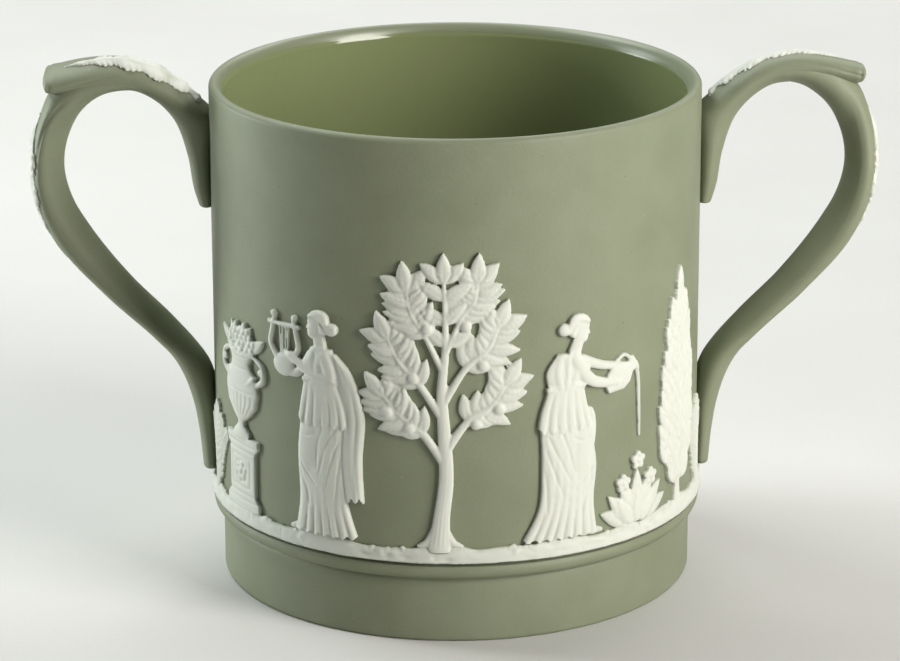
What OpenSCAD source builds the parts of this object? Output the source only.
// Two-handled loving cup: a straight stoneware cup on a banded foot, two scroll handles
// with white leaves, and a white relief frieze of garden sprigs round the wall.
// Millimetres. The origin is the centre of the foot's underside, +Z is up, the handles
// lie along X and the front faces -Y.

/* [Cup] */
// Height of the rim above the table
cup_height = 120; // [114:1:140]
// Outer radius of the straight wall
wall_radius = 58; // [55:0.5:66]
// Thickness of the wall
wall_thickness = 3.6; // [3:0.2:5]
// Thickness of the rounded lip
lip_thickness = 2.8; // [2.2:0.2:3]
// Height over which the wall thins towards the lip
lip_taper = 16; // [8:1:30]
// Thickness of the floor
floor_thickness = 5; // [4:0.5:8]
// Radius of the inner corner between wall and floor
floor_fillet = 7; // [4:0.5:12]

/* [Foot] */
// Step in from the wall to the foot band
foot_inset = 1.6; // [0.8:0.2:3]
// Height of the foot band
foot_height = 15.8; // [12:0.2:20]
// Rounding of the foot's lower edge
foot_edge = 1; // [0.5:0.1:2]
// Width of the flat ring that the cup stands on
foot_ring = 8; // [5:0.5:14]
// Depth of the recess under the cup
recess_depth = 2.6; // [1.5:0.1:4]
// Height of the bead moulding above the foot band
bead_height = 4.4; // [3.4:0.2:5.4]
// How far the bead stands out from the wall
bead_proud = 0.7; // [0.4:0.1:1.2]

/* [Handles] */
// Reach of a handle from the wall to its outermost point
handle_reach = 41.7; // [36:0.5:48]
// Rise of a handle's arch above the rim
handle_rise = 4.8; // [2:0.2:8]
// Width of a handle across
handle_width = 12; // [9:0.5:15]
// Clear gap between the ground strip and a handle's lower end
handle_gap = 0.6; // [0.4:0.1:3]
// Thickness of the white leaves on the handles
handle_leaf_depth = 1.1; // [0.8:0.1:1.6]

/* [Frieze] */
// Height of the white ground strip
ground_height = 3.8; // [3:0.2:5]
// Depth of the ground strip
ground_depth = 1.2; // [0.8:0.1:1.8]
// Depth of the flat parts of a sprig
sprig_depth = 1; // [0.6:0.1:1.4]
// Depth of the raised parts of a sprig
raised_depth = 1.8; // [1.5:0.1:2.4]
// Height of a draped figure
figure_height = 54; // [48:1:56]
// Height of the spreading tree
tree_height = 70; // [60:1:74]
// Height of the cypress
cypress_height = 58; // [48:1:66]
// Height of the flower urn with its pedestal
urn_height = 46; // [40:1:52]
// Height of a shrub
shrub_height = 17; // [12:1:18]
// Height of a clump of fern
fern_height = 20; // [14:1:22]

/* [Hidden] */
$fn = 96;

green_clay = [0.44, 0.46, 0.36];
white_clay = [0.91, 0.91, 0.88];

// Levels up the wall
ground_bottom = foot_height + bead_height;
ground_top = ground_bottom + ground_height;
floor_top = recess_depth + floor_thickness;
inner_radius = wall_radius - wall_thickness;
foot_radius = wall_radius - foot_inset;
recess_radius = foot_radius - foot_edge - foot_ring;

// The handle is drawn on a grid of its reach and its height
handle_grid = [41.7, 100.4];
handle_foot = ground_top + handle_gap;
handle_height = cup_height + handle_rise - handle_foot;
handle_sides = 14;
handle_steps = 2;
handle_roundness = 0.8;

// Sunk lines lie inside the wall, and the seat is cut to the wall's curve
sunk = -2;
// Each station: hole side across and up, back side across and up, share of the width
handle_stations = [
  [2.9, 65.4, sunk, 65.4, 0.80], [3.9, 68.8, sunk, 69.2, 0.90],
  [5.3, 77.4, sunk, 78.6, 1.00], [8.4, 86.0, sunk, 87.6, 1.04],
  [10.6, 88.9, 2.6, 90.6, 1.02], [13.4, 91.5, 7.0, 94.2, 1.00],
  [17.0, 93.5, 13.2, 98.1, 0.98], [20.6, 94.0, 20.0, 100.2, 0.98],
  [24.2, 93.2, 26.4, 100.4, 1.00], [27.6, 90.9, 32.0, 98.8, 1.02],
  [30.6, 87.6, 37.0, 93.2, 1.02], [32.8, 83.5, 39.6, 87.6, 1.00],
  [34.5, 74.6, 41.7, 75.0, 0.98], [32.4, 66.0, 40.1, 63.7, 0.96],
  [29.4, 60.6, 37.1, 57.0, 0.95], [19.6, 47.4, 25.4, 43.0, 0.94],
  [8.8, 36.2, 14.0, 32.0, 0.98], [4.4, 30.8, 10.2, 27.8, 1.02],
  [1.2, 26.0, 7.9, 23.8, 1.04], [sunk, 16.6, 5.2, 15.8, 1.02],
  [sunk, 8.6, 4.0, 8.6, 0.96], [sunk, 0.0, 3.2, 0.0, 0.84]
];
// The blunt spur at the outer end of the arch
spur_stations = [
  [24.5, 95.0, 24.5, 99.6, 0.92], [30.5, 93.4, 30.5, 99.3, 0.95],
  [35.0, 92.8, 34.6, 98.6, 0.94], [37.4, 93.2, 37.2, 97.5, 0.84],
  [38.4, 94.4, 38.4, 96.3, 0.58]
];
// Where the leaves start and end along the handle's stations
arch_leaf_span = [4.0, 9.0];
back_leaf_span = [10.6, 14.2];

// Places round the wall in degrees, counted from the front towards the right
front_places = [
  ["fern", -76], ["urn", -60], ["lyre", -33], ["tree", -4],
  ["water", 24], ["shrub", 44], ["cypress", 61], ["fern", 76]
];
back_places = [
  ["cypress", 112], ["water", 136], ["shrub", 156], ["urn", 180],
  ["lyre", 214], ["tree", 242], ["fern", 256]
];

// Smooth curves

function blend_four(a, b, c, d, t) =
  0.5 * (2 * b + (c - a) * t + (2 * a - 5 * b + 4 * c - d) * t * t + (3 * b - a - 3 * c + d) * t * t * t);

// A smooth open line through the points, with so many steps between neighbours
function line_through(p, steps) =
  let (last = len(p) - 1)
  [for (i = [0:last - 1], k = [0:steps - 1])
    blend_four(p[max(i - 1, 0)], p[i], p[i + 1], p[min(i + 2, last)], k / steps),
   p[last]];

// A smooth closed line through the points
function loop_through(p, steps) =
  let (m = len(p))
  [for (i = [0:m - 1], k = [0:steps - 1])
    blend_four(p[(i + m - 1) % m], p[i], p[(i + 1) % m], p[(i + 2) % m], k / steps)];

function flat(p) = [p[0], p[1]];

// The direction along a line at point i, and the one square to it
function along(p, i) =
  let (d = flat(p[min(i + 1, len(p) - 1)]) - flat(p[max(i - 1, 0)]))
  d / norm(d);
function across(p, i) = [-along(p, i)[1], along(p, i)[0]];

function arc(centre, r, from, to, steps) =
  [for (k = [0:steps]) let (a = from + (to - from) * k / steps) centre + r * [cos(a), sin(a)]];

// Outlines of the relief, drawn flat with the ground at y = 0

// A closed shape with soft edges
module patch(points) polygon(loop_through(points, 3));

// A tapering strip: each point is across, up and half the width
module strip(points) {
  path = line_through(points, 3);
  ends = [0:len(path) - 1];
  left_side = [for (i = ends) flat(path[i]) + across(path, i) * path[i][2]];
  right_side = [for (i = ends) flat(path[i]) - across(path, i) * path[i][2]];
  polygon(concat(left_side, [for (i = ends) right_side[len(path) - 1 - i]]));
}

// A pointed leaf that grows from a place at an angle
module leaf(place, turn, length, width) {
  swell = [[0.2, 0.32], [0.5, 0.5], [0.8, 0.3]];
  lower = [for (s = swell) [s[0] * length, -s[1] * width]];
  upper = [for (i = [2:-1:0]) [swell[i][0] * length, swell[i][1] * width]];
  translate(place) rotate(turn) polygon(concat([[0, 0]], lower, [[length, 0]], upper));
}

// A shape alike on both sides of its middle: half widths going up
module turned(profile) {
  last = len(profile) - 1;
  left_side = [for (i = [last:-1:0]) [-profile[i][0], profile[i][1]]];
  polygon(concat(profile, left_side));
}

// Placing a flat outline on the wall, from the wall out to a depth
module on_wall(depth) {
  edge = 0.15;
  bridge = 0.3;
  intersection() {
    difference() {
      cylinder(r = wall_radius + depth, h = cup_height);
      translate([0, 0, -1]) cylinder(r = wall_radius, h = cup_height + 2);
    }
    translate([0, 0, ground_top + edge])
      rotate([90, 0, 0])
        linear_extrude(height = wall_radius + depth + 1)
          offset(delta = edge - bridge) offset(delta = bridge) children();
  }
}

// Cup body

module cup_body() {
  lip_radius = lip_thickness / 2;
  lip_centre = [wall_radius - lip_radius, cup_height - lip_radius];
  bead_radius = bead_height / 2;
  bead_centre = [wall_radius + bead_proud - bead_radius, foot_height + bead_radius];
  bead_meets_wall = acos((bead_radius - bead_proud) / bead_radius);
  bead_start = -75;
  edge_centre = [foot_radius - foot_edge, foot_edge];
  corner = [inner_radius - floor_fillet, floor_top + floor_fillet];
  color(green_clay)
    rotate_extrude()
      polygon(concat(
        [[0, recess_depth], [recess_radius - recess_depth, recess_depth], [recess_radius, 0]],
        arc(edge_centre, foot_edge, -90, 0, 4),
        [[foot_radius, foot_height]],
        arc(bead_centre, bead_radius, bead_start, bead_meets_wall, 10),
        arc(lip_centre, lip_radius, 0, 180, 10),
        [[inner_radius, lip_centre[1] - lip_taper]],
        arc(corner, floor_fillet, 0, -90, 8),
        [[0, floor_top]]
      ));
}

// Handles

function handle_place(across, up) = [
  wall_radius + across * handle_reach / handle_grid[0],
  handle_foot + up * handle_height / handle_grid[1]
];

// A station anywhere along a list, found between its neighbours
function station_at(list, s) =
  let (last = len(list) - 1, i = min(floor(s), last - 1))
  blend_four(list[max(i - 1, 0)], list[i], list[i + 1], list[min(i + 2, last)], s - i);

function rounded(c) = sign(c) * pow(abs(c), handle_roundness);

// A point on the skin: angle 0 is the back, 180 the hole side, lift is outwards
function skin(list, s, angle, lift) =
  let (
    st = station_at(list, s),
    hole = handle_place(st[0], st[1]),
    back = handle_place(st[2], st[3]),
    half_span = norm(back - hole) / 2,
    half_width = st[4] * handle_width / 2,
    rz = (hole + back) / 2 + (back - hole) / 2 * rounded(cos(angle)) * (1 + lift / half_span),
    y = (half_width + lift) * rounded(sin(angle))
  )
  [max(rz[0], sqrt(wall_radius * wall_radius - y * y)), y, rz[1]];

module swept(list) {
  rings = (len(list) - 1) * handle_steps + 1;
  n = handle_sides;
  points = [for (i = [0:rings - 1], k = [0:n - 1]) skin(list, i / handle_steps, 360 * k / n, 0)];
  walls = [for (i = [0:rings - 2], k = [0:n - 1])
    let (a = i * n + k, b = i * n + (k + 1) % n)
    each [[a, b + n, a + n], [a, b, b + n]]];
  start_cap = [for (k = [1:n - 2]) [0, k + 1, k]];
  end_cap = [for (k = [1:n - 2]) let (e = (rings - 1) * n) [e, e + k, e + k + 1]];
  polyhedron(points = points, faces = concat(walls, start_cap, end_cap));
}

module handle() {
  color(green_clay) {
    swept(handle_stations);
    swept(spur_stations);
  }
}

// A lobed white leaf that lies on the handle between two stations
// A low lean puts its widest part near the start.
module handle_leaf(span, spread, lobes, lean) {
  steps = 24;
  cols = 6;
  reach = [for (i = [0:steps]) let (t = i / steps)
    spread * (0.15 + 0.85 * pow(sin(180 * pow(0.1 + 0.86 * t, lean)), 0.7)) * (0.86 + 0.14 * cos(360 * lobes * t))];
  function grid(lift) = [for (i = [0:steps], k = [0:cols])
    skin(handle_stations, span[0] + (span[1] - span[0]) * i / steps,
         reach[i] * (2 * k / cols - 1), lift)];
  w = cols + 1;
  top = w * (steps + 1);
  cells = [for (i = [0:steps - 1], k = [0:cols - 1]) i * w + k];
  over = [for (c = cells) each [[top + c, top + c + 1, top + c + w + 1], [top + c, top + c + w + 1, top + c + w]]];
  under = [for (c = cells) each [[c, c + w + 1, c + 1], [c, c + w, c + w + 1]]];
  rim = concat(
    [for (k = [0:cols]) k],
    [for (i = [1:steps]) i * w + cols],
    [for (k = [cols - 1:-1:0]) steps * w + k],
    [for (i = [steps - 1:-1:1]) i * w]
  );
  sides = [for (j = [0:len(rim) - 1])
    let (a = rim[j], b = rim[(j + 1) % len(rim)])
    each [[a, b, top + b], [a, top + b, top + a]]];
  color(white_clay)
    polyhedron(points = concat(grid(0), grid(handle_leaf_depth)), faces = concat(over, under, sides));
}

module arch_leaf() handle_leaf(arch_leaf_span, 66, 6, 0.6);
module back_leaf() handle_leaf(back_leaf_span, 48, 5, 1);
module facing_left() rotate([0, 0, 180]) children();

// Ground strips: four quarter rings that meet end to end

module ground_strip(from) {
  slope = ground_depth / 2;
  color(white_clay)
    rotate([0, 0, from])
      rotate_extrude(angle = 90)
        polygon([
          [wall_radius, ground_bottom],
          [wall_radius + ground_depth, ground_bottom],
          [wall_radius + ground_depth, ground_top - slope],
          [wall_radius + ground_depth - slope, ground_top],
          [wall_radius, ground_top]
        ]);
}

// Sprigs

module fern_shape() {
  blades = 3;
  for (i = [-blades:blades]) {
    h = 20 - 1.7 * abs(i) - (i % 2 == 0 ? 0 : 2);
    strip([[0.5 * i, 0, 0.8], [0.9 * i, 0.5 * h, 1.0], [1.5 * i, 0.85 * h, 0.8], [2.0 * i, h, 0.15]]);
  }
}

module shrub_shape() {
  for (i = [-3:3])
    leaf([0.5 * i, 0], 90 - 22 * i, 13 - 0.9 * abs(i), 4.2);
  for (p = [[-4.4, 10.4], [0.4, 15], [4.8, 10]])
    translate(p) circle(r = 1.9, $fn = 14);
}

module urn_body() {
  turned([
    [3.6, 17.6], [3.6, 18.6], [1.5, 20.2], [1.3, 21.4], [3.4, 22.8], [6.2, 25.4], [7.2, 29],
    [6.6, 32.2], [4.4, 34.6], [3.8, 36], [4.4, 37.2], [5.8, 38.2], [5.8, 39]
  ]);
}
module urn_pedestal() {
  turned([[7.2, 0], [7.2, 1.8], [5.7, 3.4], [5.7, 14.2], [7, 16], [7, 17.6]]);
}
module urn_shape() {
  urn_pedestal();
  urn_body();
  for (side = [-1, 1])
    strip([[side * 6.4, 31.6, 0.6], [side * 9.0, 33.4, 0.65], [side * 8.6, 36.6, 0.6], [side * 5.4, 38.2, 0.55]]);
  for (p = [[-4.2, 40.6], [-1.6, 43], [1.5, 43.6], [4.2, 40.8], [0, 40.6]])
    translate(p) circle(r = 2.3, $fn = 14);
  for (i = [-1, 1])
    leaf([i * 4.6, 39.6], 90 - 56 * i, 5, 2.6);
}

// Branches of the spreading tree: across, up and half the width
tree_trunk = [[-1.2, 0, 2.5], [-0.6, 7, 1.8], [0.4, 16, 1.6], [0, 26, 1.4], [-0.5, 36, 1.1], [0.3, 46, 0.8], [0, 60, 0.4]];
tree_branches = [
  [[0.2, 19, 1.0], [-4.6, 26, 0.8], [-9.6, 30, 0.55], [-13, 34, 0.3]],
  [[0.2, 22, 1.0], [5.0, 29, 0.8], [9.8, 32, 0.55], [13, 37, 0.3]],
  [[0, 29, 0.9], [-5.2, 37, 0.7], [-9.6, 42, 0.5], [-12, 47, 0.3]],
  [[-0.2, 33, 0.9], [4.6, 41, 0.7], [9.2, 45, 0.5], [11.4, 50, 0.3]],
  [[-0.2, 40, 0.7], [-4, 48, 0.5], [-7, 53, 0.4], [-8, 58, 0.25]],
  [[0.2, 44, 0.7], [3.6, 52, 0.5], [6.4, 56, 0.4], [7, 60, 0.25]]
];
module tree_leaves(branch) {
  path = line_through(branch, 3);
  for (i = [3:2:len(path) - 1]) {
    dir = along(path, i);
    turn = atan2(dir[1], dir[0]);
    for (side = [-1, 1])
      leaf(flat(path[i]), turn + 48 * side, 6.6, 3.3);
  }
  tip = along(path, len(path) - 1);
  leaf(flat(path[len(path) - 1]), atan2(tip[1], tip[0]), 6.6, 3.3);
}
module tree_shape() {
  strip(tree_trunk);
  for (side = [-1, 1])
    strip([[-1.0 + side, 4, 1.0], [-1 + side * 2.6, 1.2, 0.9], [-1 + side * 4.6, 0.3, 0.3]]);
  for (branch = tree_branches) {
    strip(branch);
    tree_leaves(branch);
  }
  tree_leaves([for (i = [4:6]) tree_trunk[i]]);
}

function cypress_half(t) = 1.2 + 6.4 * pow(sin(180 * pow(t, 0.62)), 0.8);
module cypress_shape() {
  rows = 9;
  strip([[0, 0, 1.6], [0, 4, 1.2], [0, 9, 1.1]]);
  for (j = [0:rows], side = [-1, 1]) {
    t = (j + 0.5) / (rows + 1);
    up = 6 + 44 * t;
    leaf([side * 0.45 * cypress_half(t), up - 2], 90 - side * 24 * (1 - 0.7 * t), 9.2, 4.6);
  }
  steps = 12;
  polygon(concat(
    [for (k = [0:steps]) [0.86 * cypress_half(k / steps), 6 + 49 * k / steps]],
    [for (k = [steps:-1:0]) [-0.86 * cypress_half(k / steps), 6 + 49 * k / steps]]
  ));
  leaf([0, 50], 90, 8, 4);
}

// A draped figure in profile that plays a lyre, drawn 50 high and facing left
module lyre_dress() {
  patch([
    [-2.6, 41.6], [-4.4, 38.4], [-3.8, 34.6], [-4.8, 28], [-6.0, 18], [-5.4, 8], [-6.6, 0.4], [-4, 0],
    [6, 0], [8.4, 0.5], [6.0, 8], [5.0, 18], [5.2, 28], [3.2, 34.6], [3.6, 38.4], [2.6, 41.6]
  ]);
}
module lyre_shape() {
  lyre_dress();
  strip([[2.6, 40.8, 1.0], [6.4, 36, 1.6], [8.6, 27, 1.8], [7.8, 17, 1.8], [9.0, 9.5, 0.5]]);
  strip([[-0.2, 40.8, 1.5], [-0.6, 44, 1.3]]);
  patch([[-3.0, 44.6], [-3.4, 47], [-2.2, 49.6], [0.4, 50], [2.2, 48.2], [2.0, 45.6], [0.4, 44], [-1.6, 43.6]]);
  translate([2.8, 46.8]) circle(r = 1.4, $fn = 14);
  strip([[-1.8, 40, 1.3], [-4.8, 36.2, 1.2], [-8.6, 37.4, 0.9]]);
  translate([-9.6, 36.6]) circle(r = 2.7, $fn = 16);
  strip([[-10.8, 38.2, 0.7], [-13.2, 41.4, 0.7], [-12.4, 46, 0.5]]);
  strip([[-8.4, 38.4, 0.7], [-6.2, 41.6, 0.7], [-7.0, 46.2, 0.5]]);
  strip([[-13.4, 44.6, 0.5], [-6, 44.8, 0.5]]);
  strip([[-9.7, 38, 0.6], [-9.7, 45, 0.6]]);
}

// A draped figure that waters a shrub from a jug, drawn 50 high and facing right
module water_dress() {
  patch([
    [-2.4, 41.2], [-4.6, 37.6], [-4.2, 34], [-5.8, 28], [-5.6, 18], [-6.0, 8], [-9.8, 0.6], [-7, 0],
    [5, 0], [7.4, 0.5], [6.6, 8], [7.2, 17], [4.8, 27], [3.6, 34], [4.8, 37.6], [3.2, 41]
  ]);
}
module water_shape() {
  water_dress();
  strip([[1.6, 40.4, 1.5], [2.8, 43.6, 1.3]]);
  patch([[5.6, 44.4], [5.8, 46.6], [4.8, 49.2], [2.4, 50], [0.4, 48.4], [0.4, 45.8], [2.0, 44], [4.2, 43.4]]);
  translate([-0.2, 47.4]) circle(r = 1.5, $fn = 14);
  strip([[2.0, 39.6, 1.4], [5.8, 35.2, 1.2], [11.4, 34, 0.9]]);
  strip([[3.6, 39.6, 1.1], [8.4, 37.4, 1.0], [12, 36.6, 0.8]]);
  translate([12.8, 34.6]) rotate(-22)
    turned([[1.6, -4.0], [2.2, -2.6], [3.2, -0.4], [2.8, 1.8], [1.4, 3.4], [1.4, 4.2], [2.0, 5.0]]);
  strip([[16.4, 33.6, 0.5], [18.2, 29, 0.5], [18.8, 24, 0.55], [19.0, 19.5, 0.6]]);
}

// Each sprig is scaled to its own height, flat parts first and then the raised parts
module sprig(kind) {
  color(white_clay) {
    if (kind == "fern") on_wall(sprig_depth) scale(fern_height / 20) fern_shape();
    if (kind == "shrub") on_wall(sprig_depth) scale(shrub_height / 17) shrub_shape();
    if (kind == "tree") {
      on_wall(sprig_depth) scale(tree_height / 66.5) tree_shape();
      on_wall(raised_depth) scale(tree_height / 66.5) strip(tree_trunk);
    }
    if (kind == "cypress") on_wall(raised_depth) scale(cypress_height / 58) cypress_shape();
    if (kind == "urn") {
      on_wall(sprig_depth) scale(urn_height / 46) urn_shape();
      on_wall(raised_depth) scale(urn_height / 46) urn_body();
    }
    if (kind == "lyre") {
      on_wall(sprig_depth) scale(figure_height / 50) lyre_shape();
      on_wall(raised_depth) scale(figure_height / 50) lyre_dress();
    }
    if (kind == "water") {
      on_wall(sprig_depth) scale(figure_height / 50) water_shape();
      on_wall(raised_depth) scale(figure_height / 50) water_dress();
    }
  }
}
module placed(spot) rotate([0, 0, spot[1]]) sprig(spot[0]);

cup_body();
handle();  // handle_right
facing_left() handle();  // handle_left
arch_leaf();  // arch_leaf_right
facing_left() arch_leaf();  // arch_leaf_left
back_leaf();  // back_leaf_right
facing_left() back_leaf();  // back_leaf_left
ground_strip(-135);  // ground_strip_front
ground_strip(-45);  // ground_strip_right
ground_strip(45);  // ground_strip_back
ground_strip(135);  // ground_strip_left
placed(front_places[0]);  // fern_front_left
placed(front_places[1]);  // urn_front
placed(front_places[2]);  // lyre_player_front
placed(front_places[3]);  // tree_front
placed(front_places[4]);  // water_girl_front
placed(front_places[5]);  // shrub_front
placed(front_places[6]);  // cypress_front
placed(front_places[7]);  // fern_front_right
placed(back_places[0]);  // cypress_back
placed(back_places[1]);  // water_girl_back
placed(back_places[2]);  // shrub_back
placed(back_places[3]);  // urn_back
placed(back_places[4]);  // lyre_player_back
placed(back_places[5]);  // tree_back
placed(back_places[6]);  // fern_back
